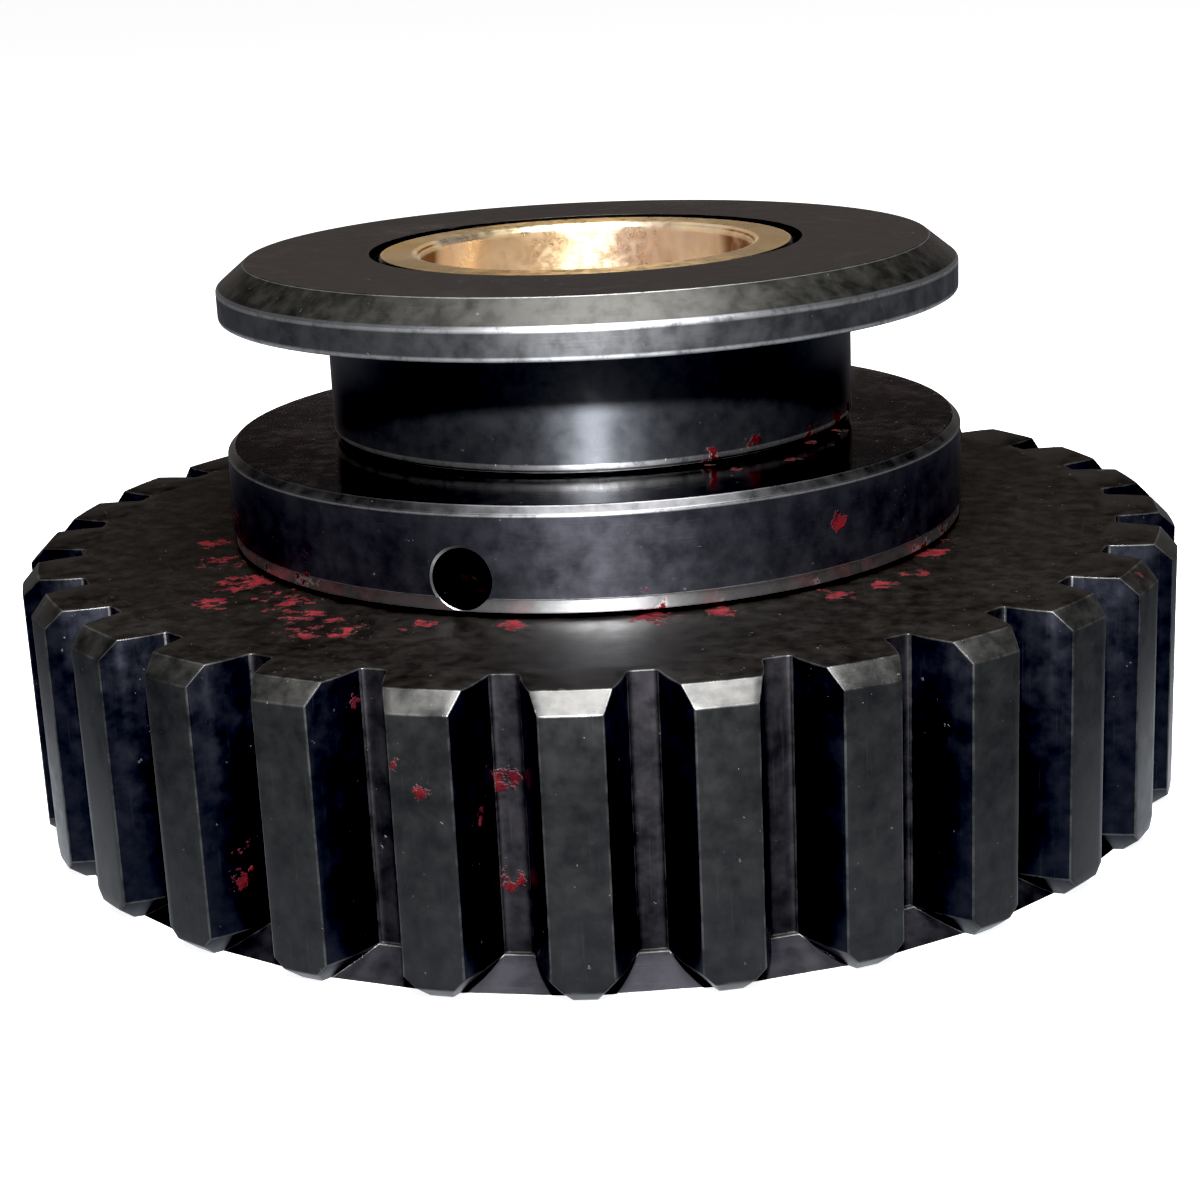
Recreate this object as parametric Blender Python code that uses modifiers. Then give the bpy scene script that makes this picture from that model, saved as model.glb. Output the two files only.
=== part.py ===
"""Spur gear with a fork sleeve: a blackened steel gear wheel keyed to a flanged
sleeve, a lock collar with its set screw, and two floating bronze bushes.

Metres, +Z up. The origin is the centre of the gear's lower face, and the gear's
axis is +Z. The set-screw hole of the collar points along -Y.
"""

import math

import bmesh
import bpy
from mathutils import Matrix, Vector

# --- driving dimensions (metres) -------------------------------------------
TOOTH_COUNT = 29
TIP_RADIUS = 0.0620
ROOT_RADIUS = 0.0556
FACE_WIDTH = 0.0290
TIP_CHAMFER = 0.0018
LAND_HALF_ANGLE = 0.0459
ROOT_FLOOR_HALF = 0.0013
FIRST_TOOTH_AZIMUTH = math.radians(16.7)
END_FLARE = 0.0025
RAMP_START = 0.0003
RAMP_END_SHARE = 0.60

FLANGE_TOP = 0.0589
FLANGE_FACE_RADIUS = 0.0361
FLANGE_RIM_RADIUS = 0.0392
FLANGE_BEVEL_DROP = 0.0025
FLANGE_RIM_BOTTOM = 0.0533
NECK_RADIUS = 0.0279
NECK_BOTTOM = 0.04018
NECK_CHAMFER = 0.0006
QUILL_RADIUS = 0.0264
QUILL_BOTTOM = 0.0005
SLEEVE_BORE = 0.02242
BORE_CHAMFER = 0.0006
BORE_RIB_RADIUS = 0.0205
BORE_RIB_LOW = 0.0280
BORE_RIB_HIGH = 0.0310

COLLAR_RADIUS = 0.0394
COLLAR_BORE = 0.0267
COLLAR_TOP = 0.03985
COLLAR_TOP_CHAMFER = 0.0008
COLLAR_FOOT_RADIUS = 0.03925
COLLAR_FOOT_TOP = 0.0309
COLLAR_FOOT_BOTTOM = 0.0295
COLLAR_SEAT_RADIUS = 0.0345
COLLAR_SEAT_BOTTOM = 0.0293

SCREW_HOLE_HEIGHT = 0.0327
SCREW_HOLE_RADIUS = 0.0033
SCREW_RADIUS = 0.0030
SCREW_TAIL = 0.0267
SCREW_HEAD = 0.0335
SCREW_SOCKET = 0.0016

BUSH_BORE = 0.0176
BUSH_RADIUS = 0.02235
BUSH_CHAMFER = 0.0006
UPPER_BUSH_TOP = 0.0587
UPPER_BUSH_BOTTOM = 0.0314
LOWER_BUSH_TOP = 0.0276
LOWER_BUSH_BOTTOM = 0.0007

GEAR_BORE = 0.0267
GEAR_BORE_CHAMFER = 0.0006
RECESS_RADIUS = 0.0330
RECESS_DEPTH = 0.0040

KEY_WIDTH = 0.0080
KEY_INNER = 0.0244
KEY_OUTER = 0.0290
KEY_LOW = 0.0080
KEY_HIGH = 0.0260
FIT_GAP = 0.0003

RING_INNER = 0.0246
RING_OUTER = 0.0288
RING_LOW = 0.0018
RING_HIGH = 0.0035
RING_GROOVE_RADIUS = 0.0243
RING_GROOVE_LOW = 0.0015
RING_GROOVE_HIGH = 0.0038
RING_EAR_RADIUS = 0.0021
RING_EAR_HOLE = 0.0009
RING_GAP_HALF_ANGLE = math.radians(16)

ROUND_STEPS = 72
WELD = 0.000001


# --- scene helpers ----------------------------------------------------------
def clear_scene():
    for item in list(bpy.data.objects):
        bpy.data.objects.remove(item, do_unlink=True)


def make_collection(name):
    group = bpy.data.collections.new(name)
    bpy.context.scene.collection.children.link(group)
    return group


def make_material(name, colour, roughness, metallic):
    material = bpy.data.materials.new(name)
    material.use_nodes = True
    shader = material.node_tree.nodes["Principled BSDF"]
    shader.inputs["Base Color"].default_value = (*colour, 1.0)
    shader.inputs["Roughness"].default_value = roughness
    shader.inputs["Metallic"].default_value = metallic
    return material


def new_object(name, mesh, group, material=None):
    item = bpy.data.objects.new(name, mesh)
    group.objects.link(item)
    if material is not None:
        mesh.materials.append(material)
    return item


def mark_cutter(item):
    item.hide_render = True
    item.display_type = "WIRE"
    return item


def turned(name, profile, group, material=None, steps=ROUND_STEPS):
    """Closed ring: a closed profile in the XZ plane turned about Z."""
    mesh = bpy.data.meshes.new(name)
    bm = bmesh.new()
    points = [bm.verts.new((radius, 0.0, height)) for radius, height in profile]
    for first, second in zip(points, points[1:] + points[:1]):
        bm.edges.new((first, second))
    bm.to_mesh(mesh)
    bm.free()
    item = new_object(name, mesh, group, material)
    screw = item.modifiers.new("Turn", "SCREW")
    screw.axis = "Z"
    screw.angle = 2.0 * math.pi
    screw.steps = steps
    screw.render_steps = steps
    screw.use_merge_vertices = True
    screw.merge_threshold = WELD
    screw.use_smooth_shade = False
    return item


def cut(item, cutter):
    step = item.modifiers.new("Cut " + cutter.name, "BOOLEAN")
    step.operation = "DIFFERENCE"
    step.solver = "EXACT"
    step.object = cutter


def join(item, addition):
    step = item.modifiers.new("Join " + addition.name, "BOOLEAN")
    step.operation = "UNION"
    step.solver = "EXACT"
    step.object = addition


def box_cutter(name, low, high, group):
    mesh = bpy.data.meshes.new(name)
    bm = bmesh.new()
    bmesh.ops.create_cube(bm, size=1.0)
    size = Vector(high) - Vector(low)
    centre = (Vector(high) + Vector(low)) / 2.0
    bmesh.ops.scale(bm, vec=size, verts=bm.verts)
    bmesh.ops.translate(bm, vec=centre, verts=bm.verts)
    bm.to_mesh(mesh)
    bm.free()
    return mark_cutter(new_object(name, mesh, group))


def rod_mesh(name, low_radius, high_radius, length, segments):
    """Rod or cone along Z from z=0 to z=length."""
    mesh = bpy.data.meshes.new(name)
    bm = bmesh.new()
    bmesh.ops.create_cone(
        bm,
        cap_ends=True,
        segments=segments,
        radius1=low_radius,
        radius2=high_radius,
        depth=length,
    )
    bmesh.ops.translate(bm, vec=(0.0, 0.0, length / 2.0), verts=bm.verts)
    bm.to_mesh(mesh)
    bm.free()
    return mesh


# --- gear wheel -------------------------------------------------------------
def tooth_space_outline():
    """Outline of one gap between teeth, symmetric about +X.

    The flank leaves the narrow root floor at about 30 degrees, and steepens to
    about 14 degrees at the tip, as the flank of a 20 degree tooth does.
    """
    pitch = 2.0 * math.pi / TOOTH_COUNT
    tip_half = TIP_RADIUS * math.sin(pitch / 2.0 - LAND_HALF_ANGLE)
    floor = ROOT_RADIUS
    depth = TIP_RADIUS * math.cos(pitch / 2.0 - LAND_HALF_ANGLE) - floor
    outline = [(floor, ROOT_FLOOR_HALF * 0.55)]
    outline.append((floor + RAMP_START, ROOT_FLOOR_HALF))
    for share in (0.30, RAMP_END_SHARE, 1.0):
        bow = 0.0003 * math.sin(math.pi * share)
        half = ROOT_FLOOR_HALF + (tip_half - ROOT_FLOOR_HALF) * share - bow
        outline.append((floor + depth * share, half))
    reach = 0.0006
    outline.append((floor + depth + reach, tip_half + reach * 0.42))
    mirrored = [(x, -y) for x, y in reversed(outline)]
    return outline + mirrored


def tooth_space_mesh():
    """One gap between teeth, open at the top of the gear.

    Near the gear's lower face both walls flare at 45 degrees, which points the
    teeth, and the floor runs out on a ramp instead of being cut through.
    """
    outline = tooth_space_outline()
    ramp_start = outline[1][0]
    ramp_end = outline[3][0]
    deepest = END_FLARE + 0.0001
    mesh = bpy.data.meshes.new("tooth_space")
    bm = bmesh.new()
    top = [bm.verts.new((x, y, FACE_WIDTH + 0.002)) for x, y in outline]
    flare = [bm.verts.new((x, y, END_FLARE)) for x, y in outline]
    foot = []
    for (x, y), above in zip(outline, flare):
        share = (x - ramp_start) / (ramp_end - ramp_start)
        drop = deepest * max(0.0, min(1.0, share))
        if drop == 0.0:
            foot.append(above)
        else:
            shifted = y + math.copysign(drop, y)
            foot.append(bm.verts.new((x, shifted, END_FLARE - drop)))
    count = len(outline)
    for first in range(count):
        second = (first + 1) % count
        bm.faces.new((top[first], top[second], flare[second], flare[first]))
        corners = [flare[first], flare[second], foot[second], foot[first]]
        corners = [v for n, v in enumerate(corners) if v not in corners[:n]]
        if len(corners) > 2:
            bm.faces.new(corners)
    bm.faces.new(top)
    # The floor: a flat sill at the root, the ramp, and the run out past its end.
    bm.faces.new((foot[0], foot[1], foot[-2], foot[-1]))
    bm.faces.new((foot[1], foot[2], foot[3], foot[-4], foot[-3], foot[-2]))
    bm.faces.new((foot[3], foot[4], foot[5], foot[-6], foot[-5], foot[-4]))
    bmesh.ops.recalc_face_normals(bm, faces=bm.faces)
    bm.to_mesh(mesh)
    bm.free()
    return mesh


def tooth_spaces(group):
    """All the gaps between teeth in one cutter."""
    single = tooth_space_mesh()
    mesh = bpy.data.meshes.new("tooth_spaces")
    bm = bmesh.new()
    pitch = 2.0 * math.pi / TOOTH_COUNT
    start = FIRST_TOOTH_AZIMUTH - math.pi / 2.0 + pitch / 2.0
    for index in range(TOOTH_COUNT):
        before = len(bm.verts)
        bm.from_mesh(single)
        bm.verts.ensure_lookup_table()
        added = bm.verts[before:]
        turn = Matrix.Rotation(start + index * pitch, 4, "Z")
        bmesh.ops.transform(bm, matrix=turn, verts=added)
    bm.to_mesh(mesh)
    bm.free()
    return mark_cutter(new_object("cutter_tooth_spaces", mesh, group))


def gear_wheel(parts, cutters, material):
    """Chamfered blank with a stepped bore; the tooth gaps and a keyway are cut."""
    profile = [
        (TIP_RADIUS - TIP_CHAMFER, FACE_WIDTH),
        (TIP_RADIUS, FACE_WIDTH - TIP_CHAMFER),
        (TIP_RADIUS, TIP_CHAMFER),
        (TIP_RADIUS - TIP_CHAMFER, 0.0),
        (RECESS_RADIUS, 0.0),
        (RECESS_RADIUS, RECESS_DEPTH),
        (GEAR_BORE + GEAR_BORE_CHAMFER, RECESS_DEPTH),
        (GEAR_BORE, RECESS_DEPTH + GEAR_BORE_CHAMFER),
        (GEAR_BORE, FACE_WIDTH - GEAR_BORE_CHAMFER),
        (GEAR_BORE + GEAR_BORE_CHAMFER, FACE_WIDTH),
    ]
    item = turned("gear_wheel", profile, parts, material, TOOTH_COUNT * 6)
    cut(item, tooth_spaces(cutters))
    low = (GEAR_BORE - 0.004, -KEY_WIDTH / 2.0 - FIT_GAP, RECESS_DEPTH - 0.002)
    high = (KEY_OUTER + FIT_GAP, KEY_WIDTH / 2.0 + FIT_GAP, FACE_WIDTH + 0.002)
    cut(item, box_cutter("cutter_gear_keyway", low, high, cutters))
    return item


# --- flanged sleeve ---------------------------------------------------------
def flanged_sleeve(parts, cutters, material):
    """Bevelled flange, neck and the quill that passes the collar and the gear."""
    bevel_low = FLANGE_TOP - FLANGE_BEVEL_DROP
    profile = [
        (FLANGE_FACE_RADIUS, FLANGE_TOP),
        (FLANGE_RIM_RADIUS, bevel_low),
        (FLANGE_RIM_RADIUS, FLANGE_RIM_BOTTOM + 0.0003),
        (FLANGE_RIM_RADIUS - 0.0003, FLANGE_RIM_BOTTOM),
        (NECK_RADIUS + 0.0008, FLANGE_RIM_BOTTOM),
        (NECK_RADIUS, FLANGE_RIM_BOTTOM - 0.0008),
        (NECK_RADIUS, NECK_BOTTOM + NECK_CHAMFER),
        (NECK_RADIUS - NECK_CHAMFER, NECK_BOTTOM),
        (QUILL_RADIUS, NECK_BOTTOM),
        (QUILL_RADIUS, RING_GROOVE_HIGH),
        (RING_GROOVE_RADIUS, RING_GROOVE_HIGH),
        (RING_GROOVE_RADIUS, RING_GROOVE_LOW),
        (QUILL_RADIUS, RING_GROOVE_LOW),
        (QUILL_RADIUS, QUILL_BOTTOM + 0.0004),
        (QUILL_RADIUS - 0.0004, QUILL_BOTTOM),
        (SLEEVE_BORE + BORE_CHAMFER, QUILL_BOTTOM),
        (SLEEVE_BORE, QUILL_BOTTOM + BORE_CHAMFER),
        (SLEEVE_BORE, BORE_RIB_LOW),
        (BORE_RIB_RADIUS, BORE_RIB_LOW),
        (BORE_RIB_RADIUS, BORE_RIB_HIGH),
        (SLEEVE_BORE, BORE_RIB_HIGH),
        (SLEEVE_BORE, FLANGE_TOP - BORE_CHAMFER),
        (SLEEVE_BORE + BORE_CHAMFER, FLANGE_TOP),
    ]
    item = turned("flanged_sleeve", profile, parts, material)
    low = (KEY_INNER - FIT_GAP, -KEY_WIDTH / 2.0 - FIT_GAP, KEY_LOW - FIT_GAP)
    high = (QUILL_RADIUS + 0.002, KEY_WIDTH / 2.0 + FIT_GAP, KEY_HIGH + FIT_GAP)
    cut(item, box_cutter("cutter_sleeve_keyseat", low, high, cutters))
    return item


# --- lock collar and its set screw -------------------------------------------
def lay_along_minus_y(item, start_radius):
    """Turn an object built along +Z so that it points along -Y."""
    item.rotation_euler = (math.pi / 2.0, 0.0, 0.0)
    item.location = (0.0, -start_radius, SCREW_HOLE_HEIGHT)


def lock_collar(parts, cutters, material):
    """Ring with a chamfered top edge, a ground foot band and one radial hole.

    The foot stands clear of the gear's face, and only the seat round the bore
    comes down to it. The screw hole runs out through the foot's lower edge.
    """
    profile = [
        (COLLAR_RADIUS - COLLAR_TOP_CHAMFER, COLLAR_TOP),
        (COLLAR_RADIUS, COLLAR_TOP - COLLAR_TOP_CHAMFER),
        (COLLAR_RADIUS, COLLAR_FOOT_TOP),
        (COLLAR_FOOT_RADIUS, COLLAR_FOOT_TOP - 0.00015),
        (COLLAR_FOOT_RADIUS, COLLAR_FOOT_BOTTOM + 0.0002),
        (COLLAR_FOOT_RADIUS - 0.0002, COLLAR_FOOT_BOTTOM),
        (COLLAR_SEAT_RADIUS, COLLAR_FOOT_BOTTOM),
        (COLLAR_SEAT_RADIUS, COLLAR_SEAT_BOTTOM),
        (COLLAR_BORE, COLLAR_SEAT_BOTTOM),
        (COLLAR_BORE, COLLAR_TOP),
    ]
    item = turned("lock_collar", profile, parts, material)
    hole_mesh = rod_mesh("screw_hole", SCREW_HOLE_RADIUS, SCREW_HOLE_RADIUS, 0.020, 32)
    hole = mark_cutter(new_object("cutter_screw_hole", hole_mesh, cutters))
    lay_along_minus_y(hole, COLLAR_BORE - 0.004)
    cut(item, hole)
    return item


def collar_set_screw(parts, cutters, material):
    """Headless screw with a hexagonal socket and a cone point."""
    length = SCREW_HEAD - SCREW_TAIL
    tip_length = 0.0014
    item = new_object(
        "collar_set_screw",
        rod_mesh("set_screw", SCREW_RADIUS, SCREW_RADIUS, length - tip_length, 24),
        parts,
        material,
    )
    lay_along_minus_y(item, SCREW_TAIL + tip_length)
    point_mesh = rod_mesh("screw_point", 0.0015, SCREW_RADIUS, tip_length, 24)
    point = mark_cutter(new_object("cutter_screw_point", point_mesh, cutters))
    point.parent = item
    point.location = (0.0, 0.0, -tip_length)
    join(item, point)
    socket_mesh = rod_mesh("screw_socket", SCREW_SOCKET, SCREW_SOCKET, 0.004, 6)
    socket = mark_cutter(new_object("cutter_screw_socket", socket_mesh, cutters))
    socket.parent = item
    socket.location = (0.0, 0.0, length - tip_length - 0.0026)
    cut(item, socket)
    return item


# --- bushes ------------------------------------------------------------------
def bush(name, low, high, parts, material):
    """Plain bronze ring, chamfered at its outer and inner edges."""
    profile = [
        (BUSH_RADIUS - BUSH_CHAMFER, high),
        (BUSH_RADIUS, high - BUSH_CHAMFER),
        (BUSH_RADIUS, low + BUSH_CHAMFER),
        (BUSH_RADIUS - BUSH_CHAMFER, low),
        (BUSH_BORE + BUSH_CHAMFER, low),
        (BUSH_BORE, low + BUSH_CHAMFER),
        (BUSH_BORE, high - BUSH_CHAMFER),
        (BUSH_BORE + BUSH_CHAMFER, high),
    ]
    return turned(name, profile, parts, material)


# --- key and retaining ring ----------------------------------------------------
def drive_key(parts, material):
    """Parallel key with softened edges between the quill and the gear."""
    mesh = bpy.data.meshes.new("drive_key")
    bm = bmesh.new()
    bmesh.ops.create_cube(bm, size=1.0)
    size = (KEY_OUTER - KEY_INNER, KEY_WIDTH, KEY_HIGH - KEY_LOW)
    bmesh.ops.scale(bm, vec=size, verts=bm.verts)
    bm.to_mesh(mesh)
    bm.free()
    item = new_object("drive_key", mesh, parts, material)
    item.location = ((KEY_INNER + KEY_OUTER) / 2.0, 0.0, (KEY_LOW + KEY_HIGH) / 2.0)
    soften = item.modifiers.new("Soften", "BEVEL")
    soften.width = 0.0004
    soften.segments = 1
    return item


def retaining_ring(parts, cutters, material):
    """Open snap ring with two eyes beside its gap, which faces -Y."""
    profile = [
        (RING_OUTER, RING_HIGH),
        (RING_OUTER, RING_LOW),
        (RING_INNER, RING_LOW),
        (RING_INNER, RING_HIGH),
    ]
    item = turned("retaining_ring", profile, parts, material)
    thickness = RING_HIGH - RING_LOW
    eye_angle = RING_GAP_HALF_ANGLE + math.radians(2.5)
    for side in (-1.0, 1.0):
        tag = "left" if side < 0.0 else "right"
        heading = -math.pi / 2.0 + side * eye_angle
        centre = (
            (RING_OUTER - 0.0003) * math.cos(heading),
            (RING_OUTER - 0.0003) * math.sin(heading),
        )
        eye_mesh = rod_mesh("eye_" + tag, RING_EAR_RADIUS, RING_EAR_RADIUS, thickness, 24)
        eye = mark_cutter(new_object("cutter_eye_" + tag, eye_mesh, cutters))
        eye.location = (centre[0], centre[1], RING_LOW)
        join(item, eye)
    reach = RING_OUTER + 0.004
    half = (RING_INNER + RING_OUTER) / 2.0 * math.sin(RING_GAP_HALF_ANGLE)
    low = (-half, -reach, RING_LOW - 0.001)
    high = (half, -RING_INNER * 0.8, RING_HIGH + 0.001)
    cut(item, box_cutter("cutter_ring_gap", low, high, cutters))
    for side in (-1.0, 1.0):
        tag = "left" if side < 0.0 else "right"
        heading = -math.pi / 2.0 + side * (eye_angle + math.radians(0.9))
        hole_mesh = rod_mesh("eye_hole_" + tag, RING_EAR_HOLE, RING_EAR_HOLE, 0.006, 16)
        hole = mark_cutter(new_object("cutter_eye_hole_" + tag, hole_mesh, cutters))
        hole.location = (
            (RING_OUTER - 0.0002) * math.cos(heading),
            (RING_OUTER - 0.0002) * math.sin(heading),
            RING_LOW - 0.002,
        )
        cut(item, hole)
    return item


def main():
    clear_scene()
    parts = make_collection("sleeve_gear")
    cutters = make_collection("cutters")
    gear_steel = make_material("blackened gear steel", (0.045, 0.042, 0.042), 0.38, 0.9)
    sleeve_steel = make_material("blackened sleeve steel", (0.055, 0.052, 0.050), 0.34, 0.9)
    collar_steel = make_material("blackened collar steel", (0.050, 0.046, 0.045), 0.36, 0.9)
    bronze = make_material("bush bronze", (0.55, 0.34, 0.13), 0.30, 1.0)
    lower_bronze = make_material("lower bush bronze", (0.52, 0.32, 0.12), 0.32, 1.0)
    screw_steel = make_material("set screw steel", (0.06, 0.045, 0.035), 0.45, 0.9)
    key_steel = make_material("key steel", (0.30, 0.29, 0.28), 0.35, 1.0)
    ring_steel = make_material("spring steel", (0.08, 0.08, 0.085), 0.35, 1.0)
    gear_wheel(parts, cutters, gear_steel)
    flanged_sleeve(parts, cutters, sleeve_steel)
    lock_collar(parts, cutters, collar_steel)
    collar_set_screw(parts, cutters, screw_steel)
    bush("upper_bush", UPPER_BUSH_BOTTOM, UPPER_BUSH_TOP, parts, bronze)
    bush("lower_bush", LOWER_BUSH_BOTTOM, LOWER_BUSH_TOP, parts, lower_bronze)
    drive_key(parts, key_steel)
    retaining_ring(parts, cutters, ring_steel)


main()
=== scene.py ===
"""Looks for the gear with a fork sleeve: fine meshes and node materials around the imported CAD."""

import math

import bmesh
import bpy
from mathutils import Matrix, Vector


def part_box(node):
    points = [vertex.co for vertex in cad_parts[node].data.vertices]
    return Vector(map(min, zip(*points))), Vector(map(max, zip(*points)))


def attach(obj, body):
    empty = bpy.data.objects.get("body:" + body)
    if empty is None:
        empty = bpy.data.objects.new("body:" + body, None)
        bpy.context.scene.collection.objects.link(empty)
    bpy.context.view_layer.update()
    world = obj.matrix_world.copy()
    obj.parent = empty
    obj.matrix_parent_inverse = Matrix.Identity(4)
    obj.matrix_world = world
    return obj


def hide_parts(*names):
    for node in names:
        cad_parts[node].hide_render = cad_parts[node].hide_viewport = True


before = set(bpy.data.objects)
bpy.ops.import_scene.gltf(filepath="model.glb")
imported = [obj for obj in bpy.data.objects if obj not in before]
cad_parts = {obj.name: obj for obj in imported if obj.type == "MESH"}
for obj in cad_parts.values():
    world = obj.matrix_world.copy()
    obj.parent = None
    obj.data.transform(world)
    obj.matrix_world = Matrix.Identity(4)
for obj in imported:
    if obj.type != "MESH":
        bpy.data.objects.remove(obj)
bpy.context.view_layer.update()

MM = 0.001

# --- sizes read from the frame ---------------------------------------------------
WHEEL_LOW, WHEEL_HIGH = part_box("gear_wheel")
SLEEVE_LOW, SLEEVE_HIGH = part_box("flanged_sleeve")
COLLAR_LOW, COLLAR_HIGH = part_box("lock_collar")
TOP_BUSH_LOW, TOP_BUSH_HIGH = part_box("upper_bush")
LOW_BUSH_LOW, LOW_BUSH_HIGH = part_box("lower_bush")
SCREW_LOW, SCREW_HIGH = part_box("collar_set_screw")
KEY_LOW, KEY_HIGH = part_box("drive_key")
RING_LOW, RING_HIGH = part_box("retaining_ring")

TIP_RADIUS = min(WHEEL_HIGH.x, WHEEL_HIGH.y, -WHEEL_LOW.x, -WHEEL_LOW.y)
FACE_WIDTH = WHEEL_HIGH.z
RIM_RADIUS = SLEEVE_HIGH.x
FLANGE_TOP = SLEEVE_HIGH.z
COLLAR_RADIUS = COLLAR_HIGH.x
COLLAR_TOP = COLLAR_HIGH.z
BUSH_RADIUS = TOP_BUSH_HIGH.x

# --- sizes of details ------------------------------------------------------------
# They are the CAD source's own, with the screw hole and the tip chamfers a little smaller.
TOOTH_COUNT = 29
ROOT_RADIUS = 55.6 * MM
ROOT_FLOOR_HALF = 1.3 * MM
LAND_HALF_ANGLE = 0.0459
FIRST_TOOTH_AZIMUTH = math.radians(16.7)
TIP_CHAMFER_TOP = 1.78 * MM
TIP_CHAMFER_LOW = 1.5 * MM
END_FLARE = 2.5 * MM
ROOT_FILLET = 0.45 * MM
DEBURR = 0.14 * MM
FLANK_BOW = 0.3 * MM
TOOTH_PITCH = 2.0 * math.pi / TOOTH_COUNT
TIP_GAP_HALF = TIP_RADIUS * math.sin(TOOTH_PITCH / 2.0 - LAND_HALF_ANGLE)
HUB_RADIUS = 44.0 * MM
RECESS_RADIUS = 33.0 * MM
RECESS_DEPTH = 4.0 * MM
GEAR_BORE = 26.7 * MM
GEAR_BORE_CHAMFER = 0.6 * MM
KEY_GAP = 0.3 * MM

FLANGE_FACE_RADIUS = 36.1 * MM
FLANGE_BEVEL_DROP = 2.5 * MM
FLANGE_RIM_BOTTOM = 53.3 * MM
NECK_RADIUS = 27.9 * MM
NECK_BOTTOM = 40.18 * MM
NECK_CHAMFER = 0.6 * MM
QUILL_RADIUS = 26.4 * MM
SLEEVE_BORE = 22.42 * MM
BORE_CHAMFER = 0.6 * MM
BORE_RIB_RADIUS = 20.5 * MM
BORE_RIB_LOW = 28.0 * MM
BORE_RIB_HIGH = 31.0 * MM
RING_GROOVE_RADIUS = 24.3 * MM
RING_GROOVE_LOW = 1.5 * MM
RING_GROOVE_HIGH = 3.8 * MM

COLLAR_BORE = 26.7 * MM
COLLAR_TOP_CHAMFER = 0.8 * MM
COLLAR_FOOT_RADIUS = 39.25 * MM
COLLAR_FOOT_TOP = 30.9 * MM
COLLAR_FOOT_BOTTOM = 29.5 * MM
COLLAR_SEAT_RADIUS = 34.5 * MM
COLLAR_FOOT_LIP = 0.12 * MM
HOLE_HEIGHT = (SCREW_LOW.z + SCREW_HIGH.z) / 2.0
HOLE_RADIUS = 3.15 * MM
HOLE_MOUTH_DEPTH = 0.34 * MM
THREAD_DEPTH = 0.22 * MM
THREAD_PITCH = 1.0 * MM
THREAD_SIDES = 48
THREAD_ROWS_PER_PITCH = 8
SCREW_POINT = 1.6 * MM
SCREW_THREAD_DEPTH = 0.26 * MM
BUSH_BORE = 17.6 * MM
BUSH_CHAMFER = 0.6 * MM

RING_INNER = 24.6 * MM
RING_OUTER = 28.8 * MM
RING_EYE_RADIUS = 2.1 * MM
RING_EYE_HOLE = 0.9 * MM
RING_GAP_HALF_ANGLE = math.radians(16.0)

LARGE_SEGMENTS = 288
SMALL_SEGMENTS = 192
SHARP_ANGLE = math.radians(32.0)

# --- the camera, fitted to the photo ---------------------------------------------
CAMERA_AZIMUTH = math.radians(19.57)
CAMERA_DISTANCE = 247.2994 * MM
CAMERA_HEIGHT = 91.7936 * MM
CAMERA_TILT = -0.2855
CAMERA_PAN = -0.0007
CAMERA_ROLL = -0.0455
CAMERA_SENSOR = 36.0
CAMERA_LENS = 69.615

COLLECTION = bpy.data.collections.new("looks")
bpy.context.scene.collection.children.link(COLLECTION)


# --- mesh helpers ----------------------------------------------------------------
def add_object(name, mesh, materials):
    item = bpy.data.objects.new(name, mesh)
    COLLECTION.objects.link(item)
    for material in materials:
        mesh.materials.append(material)
    return item


def shade(mesh):
    """Smooth shading, but for sharp edges."""
    mesh.shade_smooth()
    mesh.set_sharp_from_angle(angle=SHARP_ANGLE)


def apply_modifiers(item):
    graph = bpy.context.evaluated_depsgraph_get()
    mesh = bpy.data.meshes.new_from_object(item.evaluated_get(graph))
    item.modifiers.clear()
    item.data = mesh


def rounded(corners, steps=4):
    """Closed profile of (radius, height) points with its corners filleted.

    Each corner is (radius, height, fillet). Returns points with an edge weight,
    which is 1 on a fillet and 0 where the corner is left as it is.
    """
    points = []
    count = len(corners)
    for index, (r, z, fillet) in enumerate(corners):
        here = Vector((r, z))
        if fillet <= 0.0:
            points.append((r, z, 0.0))
            continue
        before = Vector(corners[index - 1][:2]) - here
        after = Vector(corners[(index + 1) % count][:2]) - here
        reach = min(fillet, before.length * 0.3, after.length * 0.3)
        fade = min(fillet, 0.2 * MM, before.length * 0.15, after.length * 0.15)
        start = here + before.normalized() * reach
        end = here + after.normalized() * reach
        spot = start + before.normalized() * fade
        points.append((spot.x, spot.y, 0.0))
        for step in range(steps + 1):
            t = step / steps
            spot = start * (1 - t) ** 2 + here * 2 * t * (1 - t) + end * t * t
            points.append((spot.x, spot.y, 1.0))
        spot = end + after.normalized() * fade
        points.append((spot.x, spot.y, 0.0))
    return points


def lathe_mesh(name, points, segments, spans=()):
    """Turn a closed profile about Z.

    Each span is (low z, high z, least radius, slot): a band with its own material.
    """
    mesh = bpy.data.meshes.new(name)
    bm = bmesh.new()
    edge_layer = bm.verts.layers.float.new("edge")
    rings = []
    for segment in range(segments):
        turn = 2.0 * math.pi * segment / segments
        ring = []
        for r, z, weight in points:
            vert = bm.verts.new((r * math.cos(turn), r * math.sin(turn), z))
            vert[edge_layer] = weight
            ring.append(vert)
        rings.append(ring)
    count = len(points)
    for segment in range(segments):
        ring = rings[segment]
        other = rings[(segment + 1) % segments]
        for index in range(count):
            following = (index + 1) % count
            face = bm.faces.new((ring[index], ring[following], other[following], other[index]))
            middle_r = (points[index][0] + points[following][0]) / 2.0
            middle_z = (points[index][1] + points[following][1]) / 2.0
            for low, high, radius, slot in spans:
                if low <= middle_z <= high and middle_r >= radius:
                    face.material_index = slot
    bmesh.ops.recalc_face_normals(bm, faces=bm.faces)
    bm.to_mesh(mesh)
    bm.free()
    return mesh


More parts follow.
